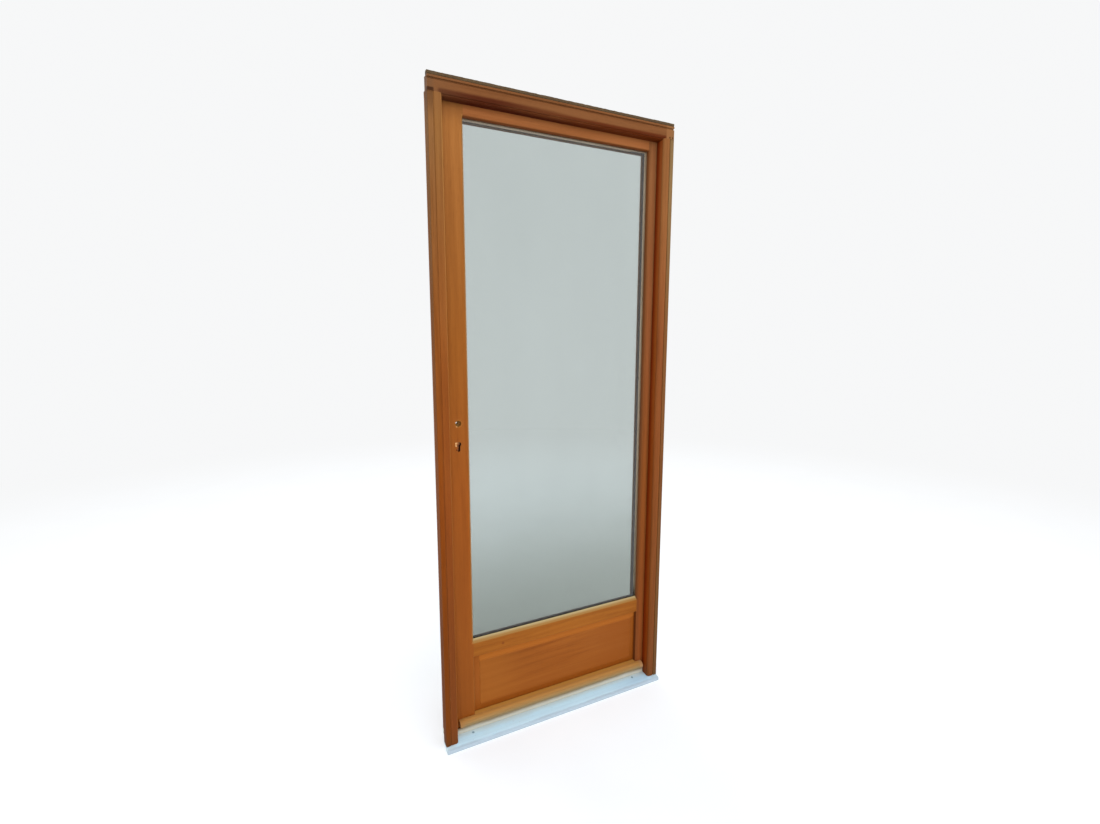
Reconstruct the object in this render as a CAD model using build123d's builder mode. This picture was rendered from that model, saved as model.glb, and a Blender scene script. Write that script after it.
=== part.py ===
from build123d import *
import os

# Single-leaf inward-opening french window: fixed frame on a sloped metal
# threshold, glazed leaf with a raised bottom panel, lock stile on the left.
# Frame: X along the width (left to right seen from outside), Y = 0 on the
# outer face with +Y into the building, Z up, origin on the threshold's
# underside at mid width. All sizes in millimetres.

os.makedirs("parts", exist_ok=True)

# ---- driving dimensions -------------------------------------------------
WIDTH = 900.0            # overall frame width
HEIGHT = 2170.0          # overall height, threshold underside to head top
DEPTH = 95.0             # frame depth
FACE = 44.0              # visible face of the frame members
WING = 16.0              # outer strip of the face
WING_T = 30.0            # depth of the outer strip
GROOVE = 3.0             # shallow groove beside the outer strip of a jamb
GROOVE_D = 2.5
HEAD_WING = 6.5          # outer strip of the head
HEAD_GROOVE = 6.0        # shadow groove of the head
HEAD_GROOVE_D = 5.0
HEAD_EDGE = 2136.0       # lower edge of the head's face, above its rounding
HEAD_UNDER = 2121.0      # underside of the head between the reveals
ARRIS = 9.0              # rounded inner edge of the jamb faces
STOP = 40.0              # depth of the stop in front of the leaf
LEAF_Y0 = 45.0           # outer face of the leaf
LEAF_Y1 = 95.0           # inner face of the leaf
LEAF_X = 412.0           # half width of the leaf
LOCK_GAP = 8.0           # gap at the lock edge
SIDE_GAP = 6.0           # gap at the hinge edge and at the top
LEAF_Z0 = 29.0           # underside of the leaf
LEAF_Z1 = 2132.0         # top of the leaf
SIGHT_L = -330.0         # glass sight lines
SIGHT_R = 373.0
SIGHT_T = 2088.0
SIGHT_B = 358.5
GLASS_B = 346.0          # bottom line of the glass unit's rebate, behind the lip
RAIL_TOP = 344.5         # middle rail: top edge of its face
RAIL_BOT = 294.0         # middle rail: lower edge
PANEL_BOT = 71.0         # bottom rail: top edge
REBATE = 12.0            # glazing rebate width
LIP = 13.0               # outer lip in front of the glazing
SPLAY_W = 6.5            # splayed edge round the glass, on the face
SPLAY_D = 8.0            # and its depth
SEAL = 2.0               # glazing seal thickness
PANE = 4.0               # one glass pane
CAVITY = 16.0            # space between the panes
GLASS_PLAY = 3.0         # edge play of the glass unit
HINGE_X = 415.0          # hinge axis
HINGE_Y = 103.0
HINGE_Z = (260.0, 1090.0, 1920.0)
KNUCKLE_R = 7.0
PIN_R = 4.0
LOCK_X = -367.0          # spindle and cylinder centre line
SPINDLE_Z = 1138.0
KEY_Z = 1068.0
SPINDLE_R = 10.0

X0 = WIDTH / 2
XI = X0 - FACE                       # reveal plane
XB = X0 - WING                       # back of the outer strip, side of the body
ZI = HEIGHT - FACE                   # underside of the head
ZB = HEIGHT - WING
XBB = XB + 2.0                       # side of the rear section, behind the strip
GL_Y0 = LEAF_Y0 + LIP + SEAL         # outer face of the outer pane
GL_Y1 = GL_Y0 + 2 * PANE + CAVITY    # inner face of the inner pane


def save(part, name):
    part.label = name
    export_step(part, "parts/" + name + ".step")


# threshold section, in a plane whose x is Y and whose y is Z
SILL = [(-17, 0), (-17, 9), (-15.5, 11.2), (-12, 12.8), (0, 16.5), (62, 23), (DEPTH, 23), (DEPTH, 0)]
YZ = Plane(origin=(0, 0, 0), x_dir=(0, 1, 0), z_dir=(1, 0, 0))

# ---- threshold ----------------------------------------------------------
with BuildPart() as threshold:
    with BuildSketch(YZ.offset(-X0)):
        with BuildLine():
            Polyline(*SILL, close=True)
        make_face()
    extrude(amount=WIDTH)
    # two channels under the profile
    with BuildSketch(YZ.offset(-X0)):
        with Locations((22, 3.5)):
            Rectangle(30, 7)
        with Locations((66, 7)):
            Rectangle(40, 14)
    extrude(amount=WIDTH, mode=Mode.SUBTRACT)
    # low upstand between the reveals, in line with the frame's stop
    with BuildSketch(YZ.offset(-XI + 0.5)):
        with BuildLine():
            Polyline((36.5, 15), (36.5, 39), (37.5, STOP), (39, STOP), (STOP, 39), (STOP, 15), close=True)
        make_face()
    extrude(amount=2 * XI - 1)
    # ends notched round the wall, behind the outer strips
    with BuildSketch(Plane.XY.offset(-1)):
        with Locations((-(X0 + XBB) / 2 - 1, (WING_T + DEPTH) / 2 + 1), ((X0 + XBB) / 2 + 1, (WING_T + DEPTH) / 2 + 1)):
            Rectangle(X0 - XBB + 2, DEPTH - WING_T + 2)
    extrude(amount=30, mode=Mode.SUBTRACT)
    # countersunk screw holes
    with Locations(Plane(origin=(0, 25, 19.12), x_dir=(1, 0, 0), z_dir=(0, -0.1043, 0.9945))):
        with Locations((-345, 0), (345, 0)):
            CounterSinkHole(radius=2.5, counter_sink_radius=5.0, depth=12)
save(threshold.part, "threshold")

SILL_CUT = SILL[:5] + [(62, 23), (DEPTH + 10, 23), (DEPTH + 10, -5), (-17, -5)]

# ---- threshold screws ---------------------------------------------------
for name, sx in (("threshold_screw_left", -345.0), ("threshold_screw_right", 345.0)):
    screw_plane = Plane(origin=(sx, 25, 19.12), x_dir=(1, 0, 0), z_dir=(0, -0.1043, 0.9945))
    with BuildPart() as screw:
        with BuildSketch(screw_plane.offset(-0.3)):
            Circle(4.6)
        with BuildSketch(screw_plane.offset(-2.5)):
            Circle(2.35)
        loft()
        with BuildSketch(screw_plane.offset(-2.5)):
            Circle(2.35)
        extrude(amount=-9)
        # cross recess
        with BuildSketch(screw_plane.offset(-0.3)):
            Rectangle(4.6, 1.0)
            Rectangle(1.0, 4.6)
        extrude(amount=-1.4, mode=Mode.SUBTRACT)
    save(screw.part, name)

# ---- jambs: moulded front section ---------------------------------------
for name, side in (("left_jamb", -1), ("right_jamb", 1)):
    with BuildPart() as jamb:
        with BuildSketch(Plane.XY.offset(5)):
            with BuildLine():
                Polyline(
                    (side * XB, GROOVE_D), (side * (XB - GROOVE), GROOVE_D),
                    (side * (XB - GROOVE), 1.0), (side * (XI + ARRIS), 1.0),
                )
                ThreePointArc(
                    (side * (XI + ARRIS), 1.0),
                    (side * (XI + ARRIS * 0.2929), 1.0 + ARRIS * 0.2929),
                    (side * XI, 1.0 + ARRIS),
                )
                Polyline(
                    (side * XI, 1.0 + ARRIS), (side * XI, STOP),
                    (side * XB, STOP), (side * XB, GROOVE_D),
                )
            make_face()
        extrude(amount=ZI - 5)
        # foot cut to the slope of the threshold
        with BuildSketch(YZ.offset(-X0)):
            with BuildLine():
                Polyline(*SILL_CUT, close=True)
            make_face()
        extrude(amount=WIDTH, mode=Mode.SUBTRACT)
    save(jamb.part, name)

# ---- jambs: rear section beside the leaf --------------------------------
for name, side in (("left_jamb_back", -1), ("right_jamb_back", 1)):
    xr = LEAF_X + (LOCK_GAP if side < 0 else SIDE_GAP)
    with BuildPart() as jamb_back:
        with BuildSketch(Plane.XY.offset(5)):
            with Locations((side * (XBB + xr) / 2, (STOP + DEPTH) / 2)):
                Rectangle(XBB - xr, DEPTH - STOP)
        extrude(amount=LEAF_Z1 + SIDE_GAP - 5)
        with BuildSketch(YZ.offset(-X0)):
            with BuildLine():
                Polyline(*SILL_CUT, close=True)
            make_face()
        extrude(amount=WIDTH, mode=Mode.SUBTRACT)
        back = jamb_back.edges().filter_by(Axis.Z).sort_by(Axis.Y)[-2:]
        chamfer(back, length=1.5)
        if side < 0:
            # strike plate seat and bolt pockets
            with BuildSketch(Plane.YZ.offset(-xr)):
                with Locations((70, SPINDLE_Z - 30)):
                    Rectangle(22, 170)
            extrude(amount=-2, mode=Mode.SUBTRACT)
            with BuildSketch(Plane.YZ.offset(-xr - 2)):
                with Locations((70, SPINDLE_Z + 14), (70, KEY_Z - 4)):
                    Rectangle(13, 30)
            extrude(amount=-7, mode=Mode.SUBTRACT)
    save(jamb_back.part, name)

# ---- outer strips of the jambs -----------------------------------------
for name, side in (("left_cover_strip", -1), ("right_cover_strip", 1)):
    with BuildPart() as strip:
        with BuildSketch(Plane.XY.offset(5)):
            with Locations((side * (X0 - WING / 2), WING_T / 2)):
                Rectangle(WING, WING_T)
        extrude(amount=ZI - 5)
        with BuildSketch(YZ.offset(-X0)):
            with BuildLine():
                Polyline(*SILL_CUT, close=True)
            make_face()
        extrude(amount=WIDTH, mode=Mode.SUBTRACT)
        front = strip.edges().filter_by(Axis.Z).sort_by(Axis.Y)[:2]
        fillet(front, radius=1.5)
    save(strip.part, name)

# ---- head: runs over both jambs ------------------------------------------
with BuildPart() as head:
    with BuildSketch(YZ.offset(-X0)):
        with BuildLine():
            Polyline(
                (WING_T, HEIGHT), (1.5, HEIGHT), (0, HEIGHT - 1.5), (0, HEIGHT - HEAD_WING + 0.8),
                (0.8, HEIGHT - HEAD_WING), (HEAD_GROOVE_D, HEIGHT - HEAD_WING),
                (HEAD_GROOVE_D, HEIGHT - HEAD_WING - HEAD_GROOVE), (1.0, HEIGHT - HEAD_WING - HEAD_GROOVE),
                (1.0, ZI), (WING_T, ZI), (WING_T, HEIGHT),
            )
        make_face()
    extrude(amount=WIDTH)
    # narrower part against the rear section
    with BuildSketch(YZ.offset(-XB)):
        with Locations(((WING_T + STOP) / 2, (ZI + ZB) / 2)):
            Rectangle(STOP - WING_T, ZB - ZI)
    extrude(amount=2 * XB)
    # deeper part between the reveals
    with BuildSketch(YZ.offset(-XI)):
        with Locations(((8 + STOP) / 2, (HEAD_UNDER + ZI + 4) / 2)):
            Rectangle(STOP - 8, ZI + 4 - HEAD_UNDER)
    extrude(amount=2 * XI)
    # rounded lower front edge
    with BuildSketch(YZ.offset(-XI)):
        with BuildLine():
            Polyline((-2, HEAD_EDGE), (1, HEAD_EDGE))
            ThreePointArc((1, HEAD_EDGE), (4.4, HEAD_EDGE - 9.6), (12, HEAD_UNDER))
            Polyline((12, HEAD_UNDER), (12, HEAD_UNDER - 3), (-2, HEAD_UNDER - 3), (-2, HEAD_EDGE))
        make_face()
    extrude(amount=2 * XI, mode=Mode.SUBTRACT)
    # the rounding runs out over the rounded edges of the jambs
    for side in (-1, 1):
        with BuildSketch(YZ.offset(side * XI)):
            with BuildLine():
                Polyline(
                    (-2, HEAD_EDGE), (1, HEAD_EDGE), (4.4, HEAD_EDGE - 9.6), (8.2, ZI - 2), (-2, ZI - 2),
                    close=True,
                )
            make_face()
        with BuildSketch(YZ.offset(side * (XI + ARRIS))):
            with BuildLine():
                Polyline(
                    (-2, HEAD_EDGE), (1, HEAD_EDGE), (1.1, HEAD_EDGE - 4), (1.2, ZI - 2), (-2, ZI - 2),
                    close=True,
                )
            make_face()
        loft(mode=Mode.SUBTRACT)
save(head.part, "head_rail")

# ---- head: rear section above the leaf ----------------------------------
with BuildPart() as head_back:
    with BuildSketch(YZ.offset(-XBB)):
        with Locations(((STOP + DEPTH) / 2, (LEAF_Z1 + SIDE_GAP + ZB + 2) / 2)):
            Rectangle(DEPTH - STOP, ZB + 2 - LEAF_Z1 - SIDE_GAP)
    extrude(amount=2 * XBB)
    chamfer(head_back.edges().filter_by(Axis.X).sort_by(Axis.Y)[-2:], length=1.5)
save(head_back.part, "head_back")

# ---- dark sealing strip along the top edge ------------------------------
with BuildPart() as head_seal:
    with BuildSketch(YZ.offset(-X0)):
        with Locations((10.5, HEIGHT + 6)):
            RectangleRounded(18, 12, 2)
    extrude(amount=WIDTH)
save(head_seal.part, "head_seal_strip")

# ---- strike plate -------------------------------------------------------
with BuildPart() as strike_plate:
    with BuildSketch(Plane.YZ.offset(-LEAF_X - LOCK_GAP)):
        with Locations((70, SPINDLE_Z - 30)):
            Rectangle(22, 170)
        with Locations((70, SPINDLE_Z + 14), (70, KEY_Z - 4)):
            Rectangle(13, 30, mode=Mode.SUBTRACT)
    extrude(amount=-2)
save(strike_plate.part, "strike_plate")

# ---- leaf: stiles -------------------------------------------------------
GL_X0 = SIGHT_L - REBATE
GL_X1 = SIGHT_R + REBATE
SPLAY_BOT = RAIL_TOP + SPLAY_D * (SIGHT_B - RAIL_TOP) / LIP   # on the slope of the middle rail
for name, side, sight in (("lock_stile", -1, SIGHT_L), ("hinge_stile", 1, SIGHT_R)):
    xe = side * LEAF_X
    xs = sight
    xg = sight + side * REBATE
    with BuildPart() as stile:
        # full section
        with BuildSketch(Plane.XY.offset(LEAF_Z0)):
            with Locations(((xe + xs) / 2, (LEAF_Y0 + LEAF_Y1) / 2)):
                Rectangle(abs(xe - xs), LEAF_Y1 - LEAF_Y0)
        extrude(amount=LEAF_Z1 - LEAF_Z0)
        # splayed edge beside the glass, mitred into the rails
        with BuildSketch(Plane.XZ.offset(-LEAF_Y0)):
            with Locations(((SIGHT_L + SIGHT_R) / 2, (RAIL_TOP + SIGHT_T + SPLAY_W) / 2)):
                Rectangle(SIGHT_R - SIGHT_L + 2 * SPLAY_W, SIGHT_T + SPLAY_W - RAIL_TOP)
        with BuildSketch(Plane.XZ.offset(-LEAF_Y0 - SPLAY_D)):
            with Locations(((SIGHT_L + SIGHT_R) / 2, (SPLAY_BOT + SIGHT_T) / 2)):
                Rectangle(SIGHT_R - SIGHT_L, SIGHT_T - SPLAY_BOT)
        loft(mode=Mode.SUBTRACT)
        # small splayed edge beside the panel
        with BuildSketch(Plane.XZ.offset(-LEAF_Y0)):
            with Locations(((SIGHT_L + SIGHT_R) / 2, (PANEL_BOT + RAIL_BOT + 2.5) / 2)):
                Rectangle(SIGHT_R - SIGHT_L + 5, RAIL_BOT + 2.5 - PANEL_BOT)
        with BuildSketch(Plane.XZ.offset(-LEAF_Y0 - 2.5)):
            with Locations(((SIGHT_L + SIGHT_R) / 2, (PANEL_BOT + RAIL_BOT) / 2)):
                Rectangle(SIGHT_R - SIGHT_L, RAIL_BOT - PANEL_BOT)
        loft(mode=Mode.SUBTRACT)
        # glazing rebate, open to the inside
        with BuildSketch(Plane.XY.offset(GLASS_B - REBATE)):
            with Locations(((xs + xg) / 2, (LEAF_Y0 + LIP + LEAF_Y1) / 2)):
                Rectangle(REBATE, LEAF_Y1 - LEAF_Y0 - LIP)
        extrude(amount=SIGHT_T - GLASS_B + 2 * REBATE, mode=Mode.SUBTRACT)
        # panel groove
        with BuildSketch(Plane.XY.offset(PANEL_BOT - 10)):
            with Locations((xs + side * 5, 70)):
                Rectangle(10, 16)
        extrude(amount=RAIL_BOT - PANEL_BOT + 20, mode=Mode.SUBTRACT)
        if side < 0:
            # lock mortise and face plate seat
            with BuildSketch(Plane.YZ.offset(-LEAF_X)):
                with Locations((70, 1092.5)):
                    Rectangle(20, 235)
            extrude(amount=2.5, mode=Mode.SUBTRACT)
            with BuildSketch(Plane.YZ.offset(-LEAF_X)):
                with Locations((70, 1093)):
                    Rectangle(14, 170)
            extrude(amount=62, mode=Mode.SUBTRACT)
            # spindle hole through both cheeks
            with BuildSketch(Plane.XZ.offset(-LEAF_Y0)):
                with Locations((LOCK_X, SPINDLE_Z)):
                    Circle(SPINDLE_R)
            extrude(amount=-(LEAF_Y1 - LEAF_Y0), mode=Mode.SUBTRACT)
            # cylinder hole: a circle over a narrower round-ended slot
            with BuildSketch(Plane.XZ.offset(-LEAF_Y0)):
                with Locations((LOCK_X, KEY_Z)):
                    Circle(8.5)
                with Locations((LOCK_X, KEY_Z - 10)):
                    Rectangle(10, 20)
                with Locations((LOCK_X, KEY_Z - 19.5)):
                    Circle(5)
            extrude(amount=-(LEAF_Y1 - LEAF_Y0), mode=Mode.SUBTRACT)
    save(stile.part, name)

# ---- leaf: rails --------------------------------------------------------
RAIL_LEN = SIGHT_R - SIGHT_L
with BuildPart() as top_rail:
    with BuildSketch(YZ.offset(SIGHT_L)):
        with BuildLine():
            Polyline(
                (LEAF_Y0, LEAF_Z1), (LEAF_Y0, SIGHT_T + SPLAY_W), (LEAF_Y0 + SPLAY_D, SIGHT_T),
                (LEAF_Y0 + LIP, SIGHT_T), (LEAF_Y0 + LIP, SIGHT_T + REBATE),
                (LEAF_Y1, SIGHT_T + REBATE), (LEAF_Y1, LEAF_Z1), close=True,
            )
        make_face()
    extrude(amount=RAIL_LEN)
save(top_rail.part, "top_rail")

with BuildPart() as middle_rail:
    with BuildSketch(YZ.offset(SIGHT_L)):
        with BuildLine():
            Polyline(
                (LEAF_Y0, RAIL_TOP), (LEAF_Y0 + LIP, SIGHT_B), (LEAF_Y0 + LIP, GLASS_B - REBATE),
                (LEAF_Y1, GLASS_B - REBATE), (LEAF_Y1, RAIL_BOT), (78, RAIL_BOT),
                (78, RAIL_BOT + 10), (62, RAIL_BOT + 10), (62, RAIL_BOT),
                (LEAF_Y0 + 2.5, RAIL_BOT), (LEAF_Y0, RAIL_BOT + 2.5), close=True,
            )
        make_face()
    extrude(amount=RAIL_LEN)
save(middle_rail.part, "middle_rail")

with BuildPart() as bottom_rail:
    with BuildSketch(YZ.offset(SIGHT_L)):
        with BuildLine():
            Polyline(
                (LEAF_Y0, LEAF_Z0), (LEAF_Y0, PANEL_BOT), (62, PANEL_BOT),
                (62, PANEL_BOT - 10), (78, PANEL_BOT - 10), (78, PANEL_BOT),
                (LEAF_Y1, PANEL_BOT), (LEAF_Y1, LEAF_Z0), close=True,
            )
        make_face()
    extrude(amount=RAIL_LEN)
save(bottom_rail.part, "bottom_rail")

# ---- leaf: raised and fielded panel ------------------------------------
MARGIN = 24.0
PXC = (SIGHT_L + SIGHT_R) / 2
PZC = (PANEL_BOT + RAIL_BOT) / 2
PW = SIGHT_R - SIGHT_L
PH = RAIL_BOT - PANEL_BOT
with BuildPart() as raised_panel:
    with BuildSketch(Plane.XZ.offset(-62.5)):
        with Locations((PXC, PZC)):
            Rectangle(PW + 18, PH + 18)
    extrude(amount=-15)
    for y_rim, y_field, y_face in ((62.5, 55.5, 54.0), (77.5, 84.5, 86.0)):
        with BuildSketch(Plane.XZ.offset(-y_rim)):
            with Locations((PXC, PZC)):
                Rectangle(PW, PH)
        with BuildSketch(Plane.XZ.offset(-y_field)):
            with Locations((PXC, PZC)):
                Rectangle(PW - 2 * MARGIN, PH - 2 * MARGIN)
        loft()
        with BuildSketch(Plane.XZ.offset(-y_field)):
            with Locations((PXC, PZC)):
                Rectangle(PW - 2 * MARGIN, PH - 2 * MARGIN)
        with BuildSketch(Plane.XZ.offset(-y_face)):
            with Locations((PXC, PZC)):
                Rectangle(PW - 2 * MARGIN - 2, PH - 2 * MARGIN - 2)
        loft()
save(raised_panel.part, "raised_panel")

# ---- leaf: weather bar --------------------------------------------------
with BuildPart() as weather_bar:
    with BuildSketch(YZ.offset(-391)):
        with BuildLine():
            Polyline((LEAF_Y0, 50), (LEAF_Y0, PANEL_BOT), (41, PANEL_BOT))
            ThreePointArc((41, PANEL_BOT), (29, 67.5), (23, 60))
            Polyline(
                (23, 60), (23, 52), (25, 50), (28, 50), (28, 53.5), (32, 53.5), (32, 50), (LEAF_Y0, 50),
            )
        make_face()
    extrude(amount=789)
save(weather_bar.part, "weather_bar")

# ---- leaf: glass unit ---------------------------------------------------
GX0 = GL_X0 + GLASS_PLAY
GX1 = GL_X1 - GLASS_PLAY
GZ0 = GLASS_B - REBATE + GLASS_PLAY
GZ1 = SIGHT_T + REBATE - GLASS_PLAY
GXC = (GX0 + GX1) / 2
GZC = (GZ0 + GZ1) / 2
for name, y in (("outer_pane", GL_Y0), ("inner_pane", GL_Y0 + PANE + CAVITY)):
    with BuildPart() as pane:
        with BuildSketch(Plane.XZ.offset(-y)):
            with Locations((GXC, GZC)):
                Rectangle(GX1 - GX0, GZ1 - GZ0)
        extrude(amount=-PANE)
    save(pane.part, name)

with BuildPart() as spacer_bar:
    with BuildSketch(Plane.XZ.offset(-(GL_Y0 + PANE))):
        with Locations((GXC, GZC)):
            Rectangle(GX1 - GX0 - 4, GZ1 - GZ0 - 4)
            Rectangle(GX1 - GX0 - 20, GZ1 - GZ0 - 20, mode=Mode.SUBTRACT)
    extrude(amount=-CAVITY)
save(spacer_bar.part, "spacer_bar")

with BuildPart() as glazing_seal:
    with BuildSketch(Plane.XZ.offset(-(LEAF_Y0 + LIP))):
        with Locations((GXC, GZC)):
            Rectangle(GX1 - GX0, GZ1 - GZ0)
            Rectangle(GX1 - GX0 - 18.5, GZ1 - GZ0 - 18.5, mode=Mode.SUBTRACT)
    extrude(amount=-SEAL)
save(glazing_seal.part, "glazing_seal")

# ---- leaf: glazing beads on the inside ---------------------------------
BEAD_W = 20.0
bx0, bx1 = GL_X0, GL_X1
bz0, bz1 = GLASS_B - REBATE, SIGHT_T + REBATE
for name, side, x in (("bead_left", 1, bx0), ("bead_right", -1, bx1)):
    with BuildPart() as bead:
        with BuildSketch(Plane.XY.offset(bz0)):
            with BuildLine():
                Polyline(
                    (x, GL_Y1), (x + side * BEAD_W, GL_Y1), (x + side * BEAD_W, GL_Y1 + 3),
                    (x + side * 14, LEAF_Y1), (x, LEAF_Y1), close=True,
                )
            make_face()
        extrude(amount=bz1 - bz0)
        for zc, zs in ((bz0, 1), (bz1, -1)):
            with BuildSketch(Plane.XZ.offset(-LEAF_Y1 - 5)):
                with BuildLine():
                    Polyline(
                        (x, zc), (x + side * 40, zc + zs * 40), (x + side * 40, zc - zs * 10),
                        (x, zc - zs * 10), close=True,
                    )
                make_face()
            extrude(amount=30, mode=Mode.SUBTRACT)
    save(bead.part, name)

for name, side, z in (("bead_bottom", 1, bz0), ("bead_top", -1, bz1)):
    with BuildPart() as bead:
        with BuildSketch(YZ.offset(bx0)):
            with BuildLine():
                Polyline(
                    (GL_Y1, z), (GL_Y1, z + side * BEAD_W), (GL_Y1 + 3, z + side * BEAD_W),
                    (LEAF_Y1, z + side * 14), (LEAF_Y1, z), close=True,
                )
            make_face()
        extrude(amount=bx1 - bx0)
        for xc, xs in ((bx0, 1), (bx1, -1)):
            with BuildSketch(Plane.XZ.offset(-LEAF_Y1 - 5)):
                with BuildLine():
                    Polyline(
                        (xc, z), (xc + xs * 40, z + side * 40), (xc - xs * 10, z + side * 40),
                        (xc - xs * 10, z), close=True,
                    )
                make_face()
            extrude(amount=30, mode=Mode.SUBTRACT)
    save(bead.part, name)

# ---- leaf: mortise lock -------------------------------------------------
CASE_X0 = -LEAF_X + 2.5
CASE_X1 = -LEAF_X + 62
with BuildPart() as lock_case:
    with BuildSketch(Plane.XZ.offset(-63)):
        with Locations(((CASE_X0 + CASE_X1) / 2, 1093)):
            Rectangle(CASE_X1 - CASE_X0, 170)
        with Locations((LOCK_X, SPINDLE_Z)):
            Circle(9.5, mode=Mode.SUBTRACT)
        with Locations((LOCK_X, KEY_Z)):
            Circle(8.5, mode=Mode.SUBTRACT)
        with Locations((LOCK_X, KEY_Z - 10)):
            Rectangle(10, 20, mode=Mode.SUBTRACT)
        with Locations((LOCK_X, KEY_Z - 19.5)):
            Circle(5, mode=Mode.SUBTRACT)
    extrude(amount=-14)
save(lock_case.part, "lock_case")

with BuildPart() as lock_faceplate:
    with BuildSketch(Plane.YZ.offset(-LEAF_X)):
        with Locations((70, 1092.5)):
            Rectangle(20, 235)
        with Locations((70, SPINDLE_Z + 14), (70, KEY_Z - 4)):
            Rectangle(11, 24, mode=Mode.SUBTRACT)
    extrude(amount=2.5)
save(lock_faceplate.part, "lock_faceplate")

for name, z in (("latch_bolt", SPINDLE_Z + 14), ("dead_bolt", KEY_Z - 4)):
    with BuildPart() as bolt:
        with BuildSketch(Plane.YZ.offset(-LEAF_X + 0.3)):
            with Locations((70, z)):
                Rectangle(10.4, 23.4)
        extrude(amount=2.2)
    save(bolt.part, name)

with BuildPart() as follower:
    with BuildSketch(Plane.XZ.offset(-63)):
        with Locations((LOCK_X, SPINDLE_Z)):
            Circle(9.2)
            Rectangle(8, 8, mode=Mode.SUBTRACT)
    extrude(amount=-14)
save(follower.part, "lock_follower")

# ---- hinges -------------------------------------------------------------
for level, hz in zip(("lower", "middle", "upper"), HINGE_Z):
    # frame half: plate, lower knuckle and the pin
    with BuildPart() as hinge_frame:
        with BuildSketch(Plane.XY.offset(hz - 36)):
            with Locations((HINGE_X, HINGE_Y)):
                Circle(KNUCKLE_R)
            with BuildLine():
                Polyline(
                    (HINGE_X, HINGE_Y), (HINGE_X + 6.5, HINGE_Y - 2), (HINGE_X + 9, DEPTH + 3),
                    (XB - 1, DEPTH + 3), (XB - 1, DEPTH), (HINGE_X + 3.5, DEPTH), close=True,
                )
            make_face()
        extrude(amount=35)
        with BuildSketch(Plane.XY.offset(hz - 1)):
            with Locations((HINGE_X, HINGE_Y)):
                Circle(PIN_R)
        extrude(amount=30)
        chamfer(hinge_frame.faces().sort_by(Axis.Z)[-1].edges(), length=0.8)
    save(hinge_frame.part, "hinge_frame_" + level)
    # leaf half: plate and upper knuckle with a blind bore
    with BuildPart() as hinge_leaf:
        with BuildSketch(Plane.XY.offset(hz + 1)):
            with Locations((HINGE_X, HINGE_Y)):
                Circle(KNUCKLE_R)
            with BuildLine():
                Polyline(
                    (HINGE_X, HINGE_Y), (HINGE_X - 6.5, HINGE_Y - 2), (HINGE_X - 9, DEPTH + 3),
                    (HINGE_X - 31, DEPTH + 3), (HINGE_X - 31, DEPTH), (HINGE_X - 3.5, DEPTH), close=True,
                )
            make_face()
        extrude(amount=35)
        with BuildSketch(Plane.XY.offset(hz + 1)):
            with Locations((HINGE_X, HINGE_Y)):
                Circle(PIN_R + 0.06)
        extrude(amount=29, mode=Mode.SUBTRACT)
    save(hinge_leaf.part, "hinge_leaf_" + level)
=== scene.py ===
import math
import random

import bmesh
import bpy
from mathutils import Matrix, Vector, noise


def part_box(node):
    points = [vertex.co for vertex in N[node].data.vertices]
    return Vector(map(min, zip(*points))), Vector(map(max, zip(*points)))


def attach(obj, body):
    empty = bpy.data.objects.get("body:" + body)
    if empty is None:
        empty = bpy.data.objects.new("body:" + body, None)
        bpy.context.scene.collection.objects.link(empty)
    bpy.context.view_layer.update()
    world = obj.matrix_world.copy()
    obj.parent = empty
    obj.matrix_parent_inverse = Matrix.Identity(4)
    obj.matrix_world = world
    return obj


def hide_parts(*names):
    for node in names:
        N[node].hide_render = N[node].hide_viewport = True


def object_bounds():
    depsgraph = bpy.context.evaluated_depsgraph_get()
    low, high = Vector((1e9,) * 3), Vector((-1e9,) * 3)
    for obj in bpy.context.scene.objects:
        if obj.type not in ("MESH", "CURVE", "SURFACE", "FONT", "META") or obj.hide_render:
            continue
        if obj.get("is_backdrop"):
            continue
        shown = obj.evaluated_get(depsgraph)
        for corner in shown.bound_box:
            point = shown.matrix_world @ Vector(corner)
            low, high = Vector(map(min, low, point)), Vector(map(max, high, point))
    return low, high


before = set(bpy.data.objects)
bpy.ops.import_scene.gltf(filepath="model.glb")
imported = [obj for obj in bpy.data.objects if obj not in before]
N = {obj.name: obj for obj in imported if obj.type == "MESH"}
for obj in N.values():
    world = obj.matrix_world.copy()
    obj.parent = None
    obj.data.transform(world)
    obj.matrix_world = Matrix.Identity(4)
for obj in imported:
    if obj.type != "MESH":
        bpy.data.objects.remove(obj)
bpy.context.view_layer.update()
scene = bpy.context.scene

# The window is seen from outside: X to the right, Y into the building, Z up, metres.


# ---------------------------------------------------------------- node helper
def lin(r, g, b):
    out = []
    for c in (r, g, b):
        c /= 255.0
        out.append(c / 12.92 if c <= 0.04045 else ((c + 0.055) / 1.055) ** 2.4)
    return (out[0], out[1], out[2], 1.0)


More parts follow.
